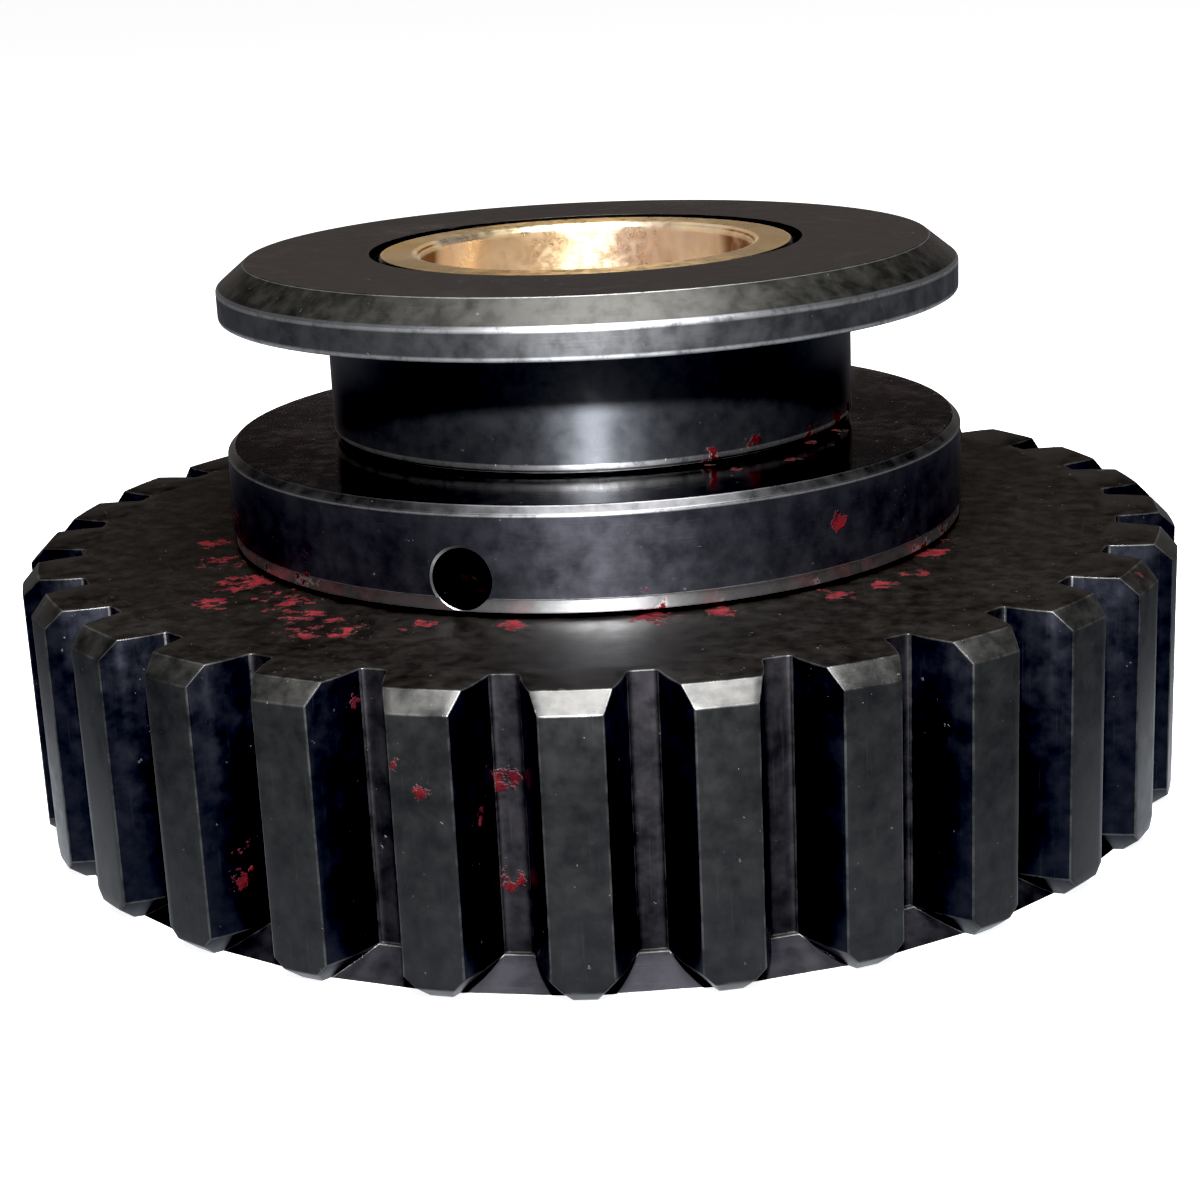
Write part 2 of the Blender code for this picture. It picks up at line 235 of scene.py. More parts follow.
def threaded_rod_mesh(name, radius, depth, length):
    """Rod along +Z whose surface carries a helical V thread."""
    mesh = bpy.data.meshes.new(name)
    bm = bmesh.new()
    rows = max(2, int(length / THREAD_PITCH * THREAD_ROWS_PER_PITCH))
    rings = []
    for row in range(rows + 1):
        z = length * row / rows
        ring = []
        for step in range(THREAD_SIDES):
            turn = 2.0 * math.pi * step / THREAD_SIDES
            phase = (z / THREAD_PITCH - step / THREAD_SIDES) % 1.0
            r = radius + depth * (1.0 - abs(2.0 * phase - 1.0))
            ring.append(bm.verts.new((r * math.cos(turn), r * math.sin(turn), z)))
        rings.append(ring)
    for lower, upper in zip(rings, rings[1:]):
        for step in range(THREAD_SIDES):
            following = (step + 1) % THREAD_SIDES
            bm.faces.new((lower[step], lower[following], upper[following], upper[step]))
    bm.faces.new(list(reversed(rings[0])))
    bm.faces.new(rings[-1])
    bmesh.ops.recalc_face_normals(bm, faces=bm.faces)
    bm.to_mesh(mesh)
    bm.free()
    return mesh


def rod_mesh(name, low_radius, high_radius, length, segments, start=0.0):
    mesh = bpy.data.meshes.new(name)
    bm = bmesh.new()
    bmesh.ops.create_cone(
        bm, cap_ends=True, segments=segments,
        radius1=low_radius, radius2=high_radius, depth=length,
    )
    bmesh.ops.translate(bm, vec=(0.0, 0.0, start + length / 2.0), verts=bm.verts)
    bm.to_mesh(mesh)
    bm.free()
    return mesh


def box_mesh(name, low, high):
    mesh = bpy.data.meshes.new(name)
    bm = bmesh.new()
    bmesh.ops.create_cube(bm, size=1.0)
    bmesh.ops.scale(bm, vec=Vector(high) - Vector(low), verts=bm.verts)
    bmesh.ops.translate(bm, vec=(Vector(high) + Vector(low)) / 2.0, verts=bm.verts)
    bm.to_mesh(mesh)
    bm.free()
    return mesh


def boolean(item, mesh, operation="DIFFERENCE", matrix=None):
    """Cut or join a helper mesh at once; a helper with materials keeps them on its faces."""
    helper = bpy.data.objects.new("helper", mesh)
    COLLECTION.objects.link(helper)
    if matrix is not None:
        mesh.transform(matrix)
    step = item.modifiers.new("step", "BOOLEAN")
    step.operation = operation
    step.solver = "EXACT"
    step.object = helper
    if len(mesh.materials) > 0:
        step.material_mode = "TRANSFER"
    apply_modifiers(item)
    bpy.data.objects.remove(helper, do_unlink=True)


def soften_edges(item, width, segments, slot=-1):
    step = item.modifiers.new("soften", "BEVEL")
    step.limit_method = "ANGLE"
    step.angle_limit = math.radians(24.0)
    step.width = width
    step.segments = segments
    step.use_clamp_overlap = True
    step.material = slot
    apply_modifiers(item)
    shade(item.data)


def along_minus_y(start_radius):
    """Matrix that lays a rod built on +Z along -Y, at the screw hole's height."""
    turn = Matrix.Rotation(math.pi / 2.0, 4, "X")
    return Matrix.Translation((0.0, -start_radius, HOLE_HEIGHT)) @ turn


# --- node helpers ----------------------------------------------------------------
class Nodes:
    """Short names for building a node tree."""

    def __init__(self, tree):
        self.tree = tree

    def add(self, kind, **settings):
        node = self.tree.nodes.new(kind)
        for key, value in settings.items():
            setattr(node, key, value)
        return node

    def link(self, source, target):
        if isinstance(source, (int, float)):
            target.default_value = source
        elif isinstance(source, (tuple, list)):
            target.default_value = source
        else:
            self.tree.links.new(source, target)

    def math(self, operation, first, second=0.0):
        node = self.add("ShaderNodeMath", operation=operation)
        self.link(first, node.inputs[0])
        self.link(second, node.inputs[1])
        return node.outputs[0]

    def plus(self, first, second):
        return self.math("ADD", first, second)

    def minus(self, first, second):
        return self.math("SUBTRACT", first, second)

    def times(self, first, second):
        return self.math("MULTIPLY", first, second)

    def larger(self, first, second):
        return self.math("MAXIMUM", first, second)

    def length(self, x, y):
        return self.math("SQRT", self.plus(self.times(x, x), self.times(y, y)))

    def range(self, value, low, high, to_low=0.0, to_high=1.0):
        """Smooth step from low to high; low may be the larger."""
        node = self.add("ShaderNodeMapRange", interpolation_type="SMOOTHSTEP")
        self.link(value, node.inputs["Value"])
        node.inputs["From Min"].default_value = low
        node.inputs["From Max"].default_value = high
        node.inputs["To Min"].default_value = to_low
        node.inputs["To Max"].default_value = to_high
        return node.outputs["Result"]

    def noise(self, vector, scale, detail, rough, distortion=0.0):
        node = self.add("ShaderNodeTexNoise")
        node.inputs["Scale"].default_value = scale
        node.inputs["Detail"].default_value = detail
        node.inputs["Roughness"].default_value = rough
        node.inputs["Distortion"].default_value = distortion
        self.link(vector, node.inputs["Vector"])
        return node.outputs["Fac"]

    def mix(self, factor, first, second):
        node = self.add("ShaderNodeMix", data_type="RGBA")
        self.link(factor, node.inputs["Factor"])
        self.link(first, node.inputs[6])
        self.link(second, node.inputs[7])
        return node.outputs[2]

    def blend(self, factor, first, second):
        node = self.add("ShaderNodeMix", data_type="FLOAT")
        self.link(factor, node.inputs["Factor"])
        self.link(first, node.inputs[2])
        self.link(second, node.inputs[3])
        return node.outputs[0]

    def combine(self, x, y, z):
        node = self.add("ShaderNodeCombineXYZ")
        self.link(x, node.inputs[0])
        self.link(y, node.inputs[1])
        self.link(z, node.inputs[2])
        return node.outputs[0]

    def position(self):
        return self.add("ShaderNodeTexCoord").outputs["Object"]

    def split(self, vector):
        node = self.add("ShaderNodeSeparateXYZ")
        self.link(vector, node.inputs[0])
        return node.outputs[0], node.outputs[1], node.outputs[2]

    def edge_weight(self):
        return self.add("ShaderNodeAttribute", attribute_name="edge").outputs["Fac"]

    def rust_map(self, position):
        node = self.add("ShaderNodeGroup")
        node.node_tree = RUST_MAP
        self.link(position, node.inputs[0])
        return node.outputs["Rust"], node.outputs["Dust"]

    def bump(self, height, distance, strength=1.0, under=None):
        node = self.add("ShaderNodeBump")
        node.inputs["Distance"].default_value = distance
        node.inputs["Strength"].default_value = strength
        self.link(height, node.inputs["Height"])
        if under is not None:
            self.link(under, node.inputs["Normal"])
        return node.outputs[0]

    def finish(self, shader, colour, roughness, metallic, normal):
        self.link(colour, shader.inputs["Base Color"])
        self.link(roughness, shader.inputs["Roughness"])
        self.link(metallic, shader.inputs["Metallic"])
        self.link(normal, shader.inputs["Normal"])

    def brush(self, shader, amount):
        """Stretch the highlight across lines that run round Z."""
        shader.inputs["Anisotropic"].default_value = amount
        shader.inputs["Anisotropic Rotation"].default_value = 0.25
        tangent = self.add("ShaderNodeTangent", direction_type="RADIAL", axis="Z")
        self.link(tangent.outputs[0], shader.inputs["Tangent"])


def rgb(r, g, b):
    return (r, g, b, 1.0)


# Rust gathers here: azimuth from -Y towards +X in degrees, then radius, height and
# reach in millimetres.
RUST_SPOTS = (
    (-28.0, 42.0, 29.5, 7.0),
    (-40.0, 42.0, 29.5, 6.0),
    (-14.0, 47.0, 29.0, 7.0),
    (-55.0, 39.4, 33.0, 3.5),
    (76.0, 39.6, 29.6, 4.2),
    (84.0, 39.6, 29.8, 3.5),
    (52.0, 41.5, 29.2, 4.0),
    (59.0, 42.5, 29.2, 3.4),
    (27.0, 40.6, 29.1, 4.5),
    (36.0, 40.6, 29.1, 3.2),
    (8.0, 41.5, 29.0, 3.2),
    (56.0, 39.4, 35.4, 2.2),
    (44.0, 27.9, 40.6, 2.4),
    (54.0, 27.9, 41.8, 2.2),
    (46.0, 30.5, 40.2, 2.0),
    (58.0, 31.0, 40.2, 2.0),
    (72.0, 27.9, 40.6, 2.6),
    (84.0, 27.9, 40.8, 3.4),
    (96.0, 27.9, 41.4, 3.4),
    (-3.0, 56.5, 26.1, 2.4),
    (10.0, 55.8, 19.2, 3.0),
    (8.8, 58.5, 16.8, 1.8),
    (10.4, 55.8, 9.7, 3.0),
    (-16.6, 59.0, 7.6, 3.2),
    (-16.4, 58.2, 10.4, 2.2),
    (4.4, 62.0, 20.3, 1.6),
    (2.2, 62.0, 22.6, 1.2),
    (47.8, 58.9, 16.2, 2.4),
    (60.6, 60.1, 19.6, 2.2),
    (-52.0, 41.5, 29.2, 5.0),
    (-64.0, 42.0, 29.2, 4.0),
    (-34.0, 47.5, 29.0, 4.5),
    (-21.0, 44.5, 29.0, 5.0),
    (-4.0, 43.0, 29.0, 4.0),
    (66.0, 42.0, 29.1, 3.4),
    (78.7, 61.4, 29.0, 2.0),
    (35.0, 59.6, 29.0, 2.2),
    (150.0, 40.5, 29.5, 7.0),
    (205.0, 41.0, 29.5, 6.0),
    (255.0, 40.0, 29.5, 5.0),
    (170.0, 57.0, 20.0, 2.5),
    (228.0, 57.0, 12.0, 2.2),
    (190.0, 27.9, 42.0, 2.5),
)


# Noise above these levels is rust.
RUST_LEVEL_ELSEWHERE = 0.735
RUST_LEVEL_AT_SPOT = 0.455
RUST_METALLIC = 0.75
RUST_DARK = rgb(0.045, 0.003, 0.006)
RUST_LIGHT = rgb(0.15, 0.011, 0.015)
DUST_GREY = rgb(0.20, 0.195, 0.19)
STREAK_GREY = rgb(0.16, 0.16, 0.17)
PALE_STEEL = rgb(0.42, 0.42, 0.43)

# Machining lines: noise scale, and how much the noise is drawn out along the lines.
AXIAL_LINES = 4200.0
AXIAL_STRETCH = 0.03
AXIAL_RADIUS = 0.062
TURNED_LINES = 5200.0
TURNED_STRETCH = 0.0012

# Brown stains on the bushes: azimuth from -Y towards +X in degrees, height and
# reach in millimetres, strength.
BORE_STAINS = (
    (122.0, 57.3, 9.0, 1.0),
    (150.0, 56.5, 6.0, 0.55),
    (-81.0, 57.5, 6.0, 1.0),
    (-128.0, 54.0, 5.0, 0.30),
    (60.0, 50.0, 7.0, 0.6),
    (-40.0, 12.0, 9.0, 0.7),
    (150.0, 8.0, 8.0, 0.6),
)
END_STAINS = (
    (-72.0, 58.9, 9.0, 0.22),
    (-100.0, 58.9, 7.0, 0.18),
)


def nearness(nodes, position, azimuth, radius, height, reach, core, strength=1.0):
    """Falls from strength inside core * reach to 0 at reach from a spot, in millimetres."""
    turn = math.radians(azimuth)
    gap = nodes.add("ShaderNodeVectorMath", operation="DISTANCE")
    nodes.link(position, gap.inputs[0])
    spot = (radius * MM * math.sin(turn), -radius * MM * math.cos(turn), height * MM)
    gap.inputs[1].default_value = spot
    return nodes.range(gap.outputs["Value"], reach * MM, reach * MM * core, 0.0, strength)


def rust_group():
    """Node group: object position in, rust amount and pale dust amount out."""
    tree = bpy.data.node_groups.new("rust_map", "ShaderNodeTree")
    sockets = (
        ("Position", "INPUT", "NodeSocketVector"),
        ("Rust", "OUTPUT", "NodeSocketFloat"),
        ("Dust", "OUTPUT", "NodeSocketFloat"),
    )
    for name, side, kind in sockets:
        tree.interface.new_socket(name, in_out=side, socket_type=kind)
    nodes = Nodes(tree)
    entry = nodes.add("NodeGroupInput").outputs[0]
    leave = nodes.add("NodeGroupOutput")
    near = 0.0
    for azimuth, radius, height, reach in RUST_SPOTS:
        near = nodes.larger(near, nearness(nodes, entry, azimuth, radius, height, reach, 0.15))
    grains = nodes.noise(entry, 640.0, 4.0, 0.65)
    threshold = nodes.blend(near, RUST_LEVEL_ELSEWHERE, RUST_LEVEL_AT_SPOT)
    rust = nodes.range(nodes.minus(grains, threshold), 0.0, 0.09)
    specks = nodes.noise(entry, 1500.0, 2.0, 0.5)
    dust = nodes.range(specks, 0.735, 0.775)
    nodes.link(rust, leave.inputs["Rust"])
    nodes.link(dust, leave.inputs["Dust"])
    return tree


RUST_MAP = rust_group()


def new_material(name):
    material = bpy.data.materials.new(name)
    material.use_nodes = True
    return material, Nodes(material.node_tree), material.node_tree.nodes["Principled BSDF"]


def grain_height(nodes, position, kind):
    """Fine machining lines: "axial" runs along Z, "turned" runs round it."""
    x, y, z = nodes.split(position)
    across = nodes.length(x, y)
    turn = nodes.math("ARCTAN2", y, x)
    if kind == "axial":
        along = nodes.times(z, AXIAL_STRETCH)
        vector = nodes.combine(nodes.times(turn, AXIAL_RADIUS), across, along)
        return nodes.noise(vector, AXIAL_LINES, 2.0, 0.6)
    vector = nodes.combine(across, z, nodes.times(turn, TURNED_STRETCH))
    return nodes.noise(vector, TURNED_LINES, 2.0, 0.6)


def black_steel(name, grain, dark, light, rough, metal, aniso=0.0, bare=PALE_STEEL,
                wear_and_glint=0.7, grain_depth=0.000008, mottle=1.0):
    """Oiled black-oxide steel: mottled, with machining lines, rust and dust; edges go pale, partly
    as wear and partly as painted highlight.
    """
    material, nodes, shader = new_material(name)
    position = nodes.position()
    height = grain_height(nodes, position, grain)
    large = nodes.noise(position, 70.0, 4.0, 0.6)
    small = nodes.noise(position, 480.0, 5.0, 0.62)
    tone = nodes.plus(nodes.times(large, 0.30), nodes.times(small, 0.70))
    spread = 0.16 * mottle
    colour = nodes.mix(nodes.range(tone, 0.5 - spread, 0.5 + spread), dark, light)
    streak = nodes.range(height, 0.62, 0.8)
    colour = nodes.mix(nodes.times(streak, 0.12), colour, STREAK_GREY)

    # Pale bare steel on the filleted edges, in chips: partly wear, partly painted highlight along
    # the edges.
    chips = nodes.noise(position, 700.0, 4.0, 0.7)
    worn_and_glinting = nodes.times(nodes.edge_weight(), nodes.range(chips, 0.30, 0.55, 0.35, 1.0))
    worn_and_glinting = nodes.times(worn_and_glinting, wear_and_glint)
    colour = nodes.mix(worn_and_glinting, colour, bare)

    rust, dust = nodes.rust_map(position)
    rust_tone = nodes.mix(nodes.range(small, 0.35, 0.65), RUST_DARK, RUST_LIGHT)
    colour = nodes.mix(rust, colour, rust_tone)
    colour = nodes.mix(nodes.times(dust, 0.30), colour, DUST_GREY)

    roughness = nodes.plus(rough, nodes.times(nodes.minus(large, 0.5), 0.22))
    roughness = nodes.plus(roughness, nodes.times(nodes.minus(small, 0.5), 0.30))
    roughness = nodes.blend(nodes.larger(rust, nodes.times(dust, 0.5)), roughness, 0.95)
    roughness = nodes.larger(roughness, 0.12)
    metallic = nodes.blend(rust, nodes.blend(worn_and_glinting, metal, 1.0), RUST_METALLIC)

    lines = nodes.bump(height, grain_depth)
    raised = nodes.plus(nodes.times(small, 0.35), nodes.times(rust, 2.2))
    pits = nodes.bump(nodes.plus(raised, dust), 0.00005, 0.6, lines)
    nodes.finish(shader, colour, roughness, metallic, pits)
    if aniso > 0.0:
        nodes.brush(shader, aniso)
    return material


def bare_steel(name, grain, colour, rough, aniso=0.0, stain=0.4):
    """Ground steel with stains and fine lines."""
    material, nodes, shader = new_material(name)
    position = nodes.position()
    height = grain_height(nodes, position, grain)
    small = nodes.noise(position, 420.0, 5.0, 0.65)
    large = nodes.noise(position, 90.0, 3.0, 0.6)
    stained = nodes.times(nodes.range(nodes.plus(small, large), 0.95, 1.25), stain)
    brown = rgb(colour[0] * 0.25, colour[1] * 0.22, colour[2] * 0.20)
    shade_colour = nodes.mix(stained, colour, brown)
    rust, _ = nodes.rust_map(position)
    shade_colour = nodes.mix(rust, shade_colour, rgb(0.10, 0.008, 0.007))
    roughness = nodes.plus(rough, nodes.times(nodes.minus(small, 0.5), 0.3))
    roughness = nodes.larger(nodes.blend(rust, roughness, 0.8), 0.1)
    lines = nodes.bump(height, 0.000008)
    nodes.finish(shader, shade_colour, roughness, nodes.blend(rust, 1.0, RUST_METALLIC), lines)
    if aniso > 0.0:
        nodes.brush(shader, aniso)
    return material


def bronze(name, seed, stains, metal, pale, gold):
    """Turned bearing bronze with pink, brown and dark patches of tarnish."""
    material, nodes, shader = new_material(name)
    position = nodes.position()
    shifted = nodes.add("ShaderNodeVectorMath", operation="ADD")
    nodes.link(position, shifted.inputs[0])
    shifted.inputs[1].default_value = (seed, seed * 0.7, seed * 1.3)
    place = shifted.outputs[0]
    height = grain_height(nodes, position, "turned")
    patches = nodes.noise(place, 95.0, 2.0, 0.5, 0.4)
    spots = nodes.noise(place, 260.0, 3.0, 0.55)
    fine = nodes.noise(place, 1100.0, 3.0, 0.6)
    colour = nodes.mix(nodes.range(patches, 0.38, 0.60), pale, gold)
    browned = nodes.times(nodes.range(spots, 0.50, 0.78), 0.45)
    colour = nodes.mix(browned, colour, rgb(0.56, 0.35, 0.20))
    darkened = nodes.times(nodes.range(patches, 0.58, 0.74), 0.5)
    colour = nodes.mix(darkened, colour, rgb(0.42, 0.23, 0.10))
    near = 0.0
    for azimuth, level, reach, strength in stains:
        spot = nearness(nodes, position, azimuth, BUSH_BORE / MM, level, reach, 0.45, strength)
        near = nodes.larger(near, spot)
    near = nodes.times(near, nodes.range(spots, 0.25, 0.5, 0.75, 1.0))
    colour = nodes.mix(near, colour, rgb(0.10, 0.032, 0.006))
    x, y, _ = nodes.split(position)
    # Near black outside the outer chamfer's edge, where the bush sits in the sleeve: painted shade
    # of the gap between them.
    face_edge = BUSH_RADIUS - BUSH_CHAMFER
    gap_shade = nodes.range(nodes.length(x, y), face_edge - 0.1 * MM, face_edge + 0.1 * MM)
    colour = nodes.mix(gap_shade, colour, rgb(0.012, 0.009, 0.008))
    # Pale gold on the filleted edges, outside the gap shade: partly wear, partly painted highlight.
    edge = nodes.times(nodes.edge_weight(), nodes.minus(1.0, gap_shade))
    colour = nodes.mix(nodes.times(edge, 0.25), colour, rgb(0.90, 0.72, 0.42))
    roughness = nodes.range(nodes.plus(spots, fine), 0.8, 1.25, 0.26, 0.42)
    roughness = nodes.blend(near, roughness, 0.55)
    metallic = nodes.blend(near, nodes.minus(metal, nodes.times(edge, 0.02)), 0.6)
    lines = nodes.bump(height, 0.00001)
    dents = nodes.bump(spots, 0.000006, 0.5, lines)
    nodes.finish(shader, colour, roughness, metallic, dents)
    nodes.brush(shader, 0.5)
    return material


# --- toothed wheel ---------------------------------------------------------------
def space_half(radius):
    """Half the width of the gap between two teeth at this radius, on a slightly bowed flank."""
    share = (radius - ROOT_RADIUS) / (TIP_RADIUS - ROOT_RADIUS)
    bow = FLANK_BOW * math.sin(math.pi * max(0.0, min(1.0, share)))
    return ROOT_FLOOR_HALF + (TIP_GAP_HALF - ROOT_FLOOR_HALF) * share - bow


def flank_angle(radius, half_gap):
    return TOOTH_PITCH / 2.0 - math.asin(half_gap / radius)


def half_tooth_outline(chamfer_radius, rows):
    """From the gap's centre up one flank to the tip, as (radius, angle from the tooth's centre)."""
    floor_gap = ROOT_FLOOR_HALF - ROOT_FILLET
    edge_angle = flank_angle(ROOT_RADIUS, floor_gap)
    outline = []
    for step in range(3):
        angle = TOOTH_PITCH / 2.0 - (TOOTH_PITCH / 2.0 - edge_angle) * step / 3.0
        outline.append((ROOT_RADIUS, angle))
    start = ROOT_RADIUS + ROOT_FILLET
    foot = space_half(start) - floor_gap
    for step in range(5):
        turn = math.pi / 2.0 * step / 4.0
        radius = ROOT_RADIUS + ROOT_FILLET * (1.0 - math.cos(turn))
        outline.append((radius, flank_angle(radius, floor_gap + foot * math.sin(turn))))
    for low, high, steps in ((start, chamfer_radius, 5), (chamfer_radius, TIP_RADIUS, rows)):
        for step in range(1, steps + 1):
            radius = low + (high - low) * step / steps
            outline.append((radius, flank_angle(radius, space_half(radius))))
    return outline


# Material slots of the wheel.
WORN_GLINTING_EDGES, TIP_CHAMFERS, RUN_OUTS, END_FACES, SHADED_FLANKS, ROOT_FLOORS = range(1, 7)


def wheel_mesh():
    """Toothed wheel: bowed flanks, root fillets and 45 degree tip chamfers at both ends.

    At the lower face both flanks of a tooth are cut back at 45 degrees, which
    points the tooth, and the gap's floor runs out on a ramp.
    """
    rows = 3
    columns = 8
    inner_steps = 8
    chamfer_radius = TIP_RADIUS - TIP_CHAMFER_TOP
    half = half_tooth_outline(chamfer_radius, rows)
    flat_count = len(half) - rows
    ramp_first = flat_count - 6
    ramp_last = flat_count - 2
    inner_radius = ROOT_RADIUS - 1.6 * MM
    mesh = bpy.data.meshes.new("toothed_wheel")
    bm = bmesh.new()

    def place(radius, turn, z):
        return bm.verts.new((radius * math.cos(turn), radius * math.sin(turn), z))

    def drop_at(index):
        """How far below the flare line this outline point ends."""
        radius = half[index][0]
        if index >= flat_count:
            return END_FLARE - (radius - chamfer_radius) * TIP_CHAMFER_LOW / TIP_CHAMFER_TOP
        ramp_start = half[ramp_first][0]
        share = (radius - ramp_start) / (half[ramp_last][0] - ramp_start)
        return END_FLARE * max(0.0, min(1.0, share))

    def ring_of(centre, level):
        """One tooth's outline and land columns; level is "top", "flare" or "foot"."""
        left = []
        right = []
        for index, (radius, angle) in enumerate(half):
            drop = drop_at(index) if level == "foot" else 0.0
            turn = angle - drop / radius
            if level == "top":
                z = FACE_WIDTH - max(0.0, radius - chamfer_radius)
            else:
                z = END_FLARE - drop
            left.append(place(radius, centre - turn, z))
            right.append(None if index == 0 else place(radius, centre + turn, z))
        land = []
        for row in range(rows + 1):
            index = flat_count - 1 + row
            if level == "flare" and row < rows:
                land.append(None)
                continue
            radius, angle = half[index]
            drop = drop_at(index) if level == "foot" else 0.0
            turn = angle - drop / radius
            cells = [left[index]]
            for column in range(1, columns):
                heading = centre - turn + 2.0 * turn * column / columns
                cells.append(place(radius, heading, left[index].co.z))
            cells.append(right[index])
            land.append(cells)
        return left, right, land

    start = FIRST_TOOTH_AZIMUTH - math.pi / 2.0
    rings = {}
    for level in ("top", "flare", "foot"):
        centres = [start + tooth * TOOTH_PITCH for tooth in range(TOOTH_COUNT)]
        rings[level] = [ring_of(centre, level) for centre in centres]
    inner = {}
    for level, z in (("top", FACE_WIDTH), ("foot", 0.0)):
        inner[level] = [
            place(inner_radius, start + (tooth - 0.5 + step / inner_steps) * TOOTH_PITCH, z)
            for tooth in range(TOOTH_COUNT)
            for step in range(inner_steps)
        ]
    # Root points do not drop, so the foot ring shares them with the flare ring.
    for tooth in range(TOOTH_COUNT):
        for side in (0, 1):
            foot = rings["foot"][tooth][side]
            flare = rings["flare"][tooth][side]
            for index in range(ramp_first + 1):
                if foot[index] is not None:
                    bm.verts.remove(foot[index])
                foot[index] = flare[index]

    def outline_of(level, tooth):
        left, right, land = rings[level][tooth]
        following = rings[level][(tooth + 1) % TOOTH_COUNT][0][0]
        return left + land[rows][1:-1] + list(reversed(right[1:])) + [following]

    def add_strip(upper, lower, slot=0):
        for index in range(len(upper) - 1):
            corners = (upper[index], upper[index + 1], lower[index + 1], lower[index])
            unique = [v for n, v in enumerate(corners) if v not in corners[:n]]
            if len(unique) > 2:
                bm.faces.new(unique).material_index = slot

    count = TOOTH_COUNT * inner_steps
    for tooth in range(TOOTH_COUNT):
        following = (tooth + 1) % TOOTH_COUNT
        add_strip(outline_of("top", tooth), outline_of("flare", tooth))
        add_strip(outline_of("flare", tooth), outline_of("foot", tooth))
        for level in ("top", "foot"):
            land = rings[level][tooth][2]
            for row in range(rows):
                add_strip(land[row], land[row + 1], TIP_CHAMFERS)
            steps = range(tooth * inner_steps, (tooth + 1) * inner_steps + 1)
            ring = [inner[level][step % count] for step in steps]
            left, right, _ = rings[level][tooth]
            first = 0 if level == "top" else ramp_last
            rim = left[first:flat_count] + land[0][1:-1]
            rim += list(reversed(right[max(first, 1):flat_count]))
            rim.append(rings[level][following][0][first])
            bm.faces.new(rim + list(reversed(ring)))
        # The gap's end: a sill at the root, then the ramp.
        right = rings["foot"][tooth][1]
        left = rings["foot"][following][0]
        bm.faces.new(right[1:ramp_first + 1] + list(reversed(left[:ramp_first + 1])))
        for index in range(ramp_first, ramp_last):
            ramp = bm.faces.new((right[index], right[index + 1], left[index + 1], left[index]))
            ramp.material_index = RUN_OUTS

    bore = [
        (HUB_RADIUS, FACE_WIDTH),
        (GEAR_BORE + GEAR_BORE_CHAMFER, FACE_WIDTH),
        (GEAR_BORE, FACE_WIDTH - GEAR_BORE_CHAMFER),
        (GEAR_BORE, RECESS_DEPTH + GEAR_BORE_CHAMFER),
        (GEAR_BORE + GEAR_BORE_CHAMFER, RECESS_DEPTH),
        (RECESS_RADIUS, RECESS_DEPTH),
        (RECESS_RADIUS, 0.5 * MM),
        (RECESS_RADIUS + 0.5 * MM, 0.0),
        (HUB_RADIUS, 0.0),
    ]
    chains = []
    for index in range(count):
        turn = start + (index / inner_steps - 0.5) * TOOTH_PITCH
        chain = [inner["top"][index]]
        chain += [place(r, turn, z) for r, z in bore]
        chain.append(inner["foot"][index])
        chains.append(chain)
    for index in range(count):
        add_strip(chains[index], chains[(index + 1) % count])
    bmesh.ops.recalc_face_normals(bm, faces=bm.faces)
    for face in bm.faces:
        if face.material_index > 0:
            continue
        if abs(face.normal.z) > 0.99:
            face.material_index = END_FACES
            continue
        reach = face.calc_center_median().xy.length
        if ROOT_RADIUS - 0.1 * MM < reach < ROOT_RADIUS + 0.2 * MM:
            face.material_index = ROOT_FLOORS
        elif ROOT_RADIUS < reach < TIP_RADIUS - 0.1 * MM:
            # Flanks and fillets get a darker copy of the wheel steel: painted shade.
            face.material_index = SHADED_FLANKS
    bm.to_mesh(mesh)
    bm.free()
    return mesh


def make_wheel():
    body = black_steel(
        "wheel_black_steel", "axial", rgb(0.027, 0.028, 0.030), rgb(0.050, 0.052, 0.054), 0.34,
        metal=0.8, grain_depth=0.000006, mottle=1.7,
    )
    # Lighter steel on the bevelled edges: partly wear, partly painted highlight.
    edges = black_steel(
        "wheel_worn_and_glinting_edges", "axial", rgb(0.045, 0.046, 0.047), rgb(0.12, 0.12, 0.118), 0.36,
        metal=0.9, mottle=0.7,
    )
    tips = black_steel(
        "wheel_tip_chamfers", "turned", rgb(0.032, 0.032, 0.032), rgb(0.072, 0.071, 0.068), 0.38,
        metal=0.9,
    )
    ramps = black_steel(
        "wheel_run_out", "turned", rgb(0.011, 0.011, 0.013), rgb(0.025, 0.024, 0.028), 0.60,
        metal=1.0,
    )
    faces = black_steel(
        "wheel_end_faces", "turned", rgb(0.011, 0.010, 0.009), rgb(0.027, 0.024, 0.022), 0.47,
        metal=0.87, mottle=1.3,
    )
    # Darker, bluer copy of the wheel steel on the flanks: painted shade.
    shaded_flanks = black_steel(
        "wheel_flanks_painted_shade", "axial", rgb(0.011, 0.012, 0.018), rgb(0.026, 0.028, 0.038), 0.36,
        metal=0.9, grain_depth=0.000006, mottle=1.4,
    )
    roots = black_steel(
        "wheel_root_floors", "axial", rgb(0.018, 0.018, 0.021), rgb(0.036, 0.034, 0.039), 0.42,
        metal=0.9, mottle=1.2,
    )
    slots = [body, edges, tips, ramps, faces, shaded_flanks, roots]
    wheel = add_object("toothed_wheel", wheel_mesh(), slots)
    soften_edges(wheel, DEBURR, 2, WORN_GLINTING_EDGES)
    slot_low = (GEAR_BORE - 4.0 * MM, KEY_LOW.y - KEY_GAP, RECESS_DEPTH - 2.0 * MM)
    slot_high = (KEY_HIGH.x + KEY_GAP, KEY_HIGH.y + KEY_GAP, FACE_WIDTH + 2.0 * MM)
    boolean(wheel, box_mesh("keyway", slot_low, slot_high))
    shade(wheel.data)
    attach(wheel, "gear_body")
    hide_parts("gear_wheel")


